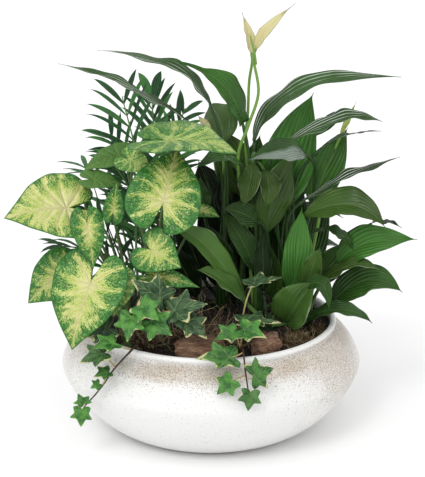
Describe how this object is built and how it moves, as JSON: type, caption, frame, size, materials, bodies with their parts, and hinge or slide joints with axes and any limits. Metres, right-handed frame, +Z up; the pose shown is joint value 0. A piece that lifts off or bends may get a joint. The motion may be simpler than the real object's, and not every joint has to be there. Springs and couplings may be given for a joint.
{
  "type": "dish garden",
  "caption": "Dish garden: a low round speckled ceramic bowl planted with peace lily, arrowhead plant, parlor palm and trailing ivy, with bark and moss.",
  "frame": {"origin": "centre of the bowl's flat underside", "axes": "+Z up, -Y towards the side the bowl is looked at from, +X to the right of that view"},
  "size_m": [0.3722, 0.313, 0.3984],
  "materials": {
    "glazed_ceramic": "satin white glaze with fine sandy brown speckle",
    "gravel": "matte pebbles",
    "potting_soil": "dark crumbly potting soil",
    "bark": "rough broken bark",
    "moss": "dry fibrous moss",
    "lily_leaf": "glossy deep green leaf",
    "spathe": "satin cream spathe",
    "arrowhead_leaf": "satin leaf, cream centre and mottled green edge",
    "palm_leaf": "satin green leaflet",
    "ivy_leaf": "satin green leaf with cream margin"
  },
  "bodies": {
    "root": {"bowl": "glazed_ceramic", "gravel": "gravel", "soil": "potting_soil", "bark_left": "bark", "bark_right": "bark", "moss_front": "moss", "moss_right": "moss", "moss_middle": "moss", "lily_left": "lily_leaf", "lily_middle": "lily_leaf", "lily_right": "lily_leaf", "lily_front": "lily_leaf", "lily_low_right": "lily_leaf", "lily_back_left": "lily_leaf", "lily_back_right": "lily_leaf", "spathe_tall": "spathe", "spathe_short": "spathe", "spathe_right": "spathe", "spathe_left": "spathe", "arrowhead_left": "arrowhead_leaf", "arrowhead_front": "arrowhead_leaf", "arrowhead_middle": "arrowhead_leaf", "arrowhead_upper": "arrowhead_leaf", "palm_frond_left": "palm_leaf", "palm_frond_tall": "palm_leaf", "palm_frond_right": "palm_leaf", "palm_frond_middle": "palm_leaf", "palm_frond_low": "palm_leaf", "palm_frond_back_left": "palm_leaf", "palm_frond_back": "palm_leaf", "palm_frond_back_right": "palm_leaf", "ivy_left_trail": "ivy_leaf", "ivy_left_shoot": "ivy_leaf", "ivy_left_large": "ivy_leaf", "ivy_rim_left": "ivy_leaf", "ivy_right_trail": "ivy_leaf", "ivy_right_shoot": "ivy_leaf", "ivy_back": "ivy_leaf"}
  },
  "joints": []
}
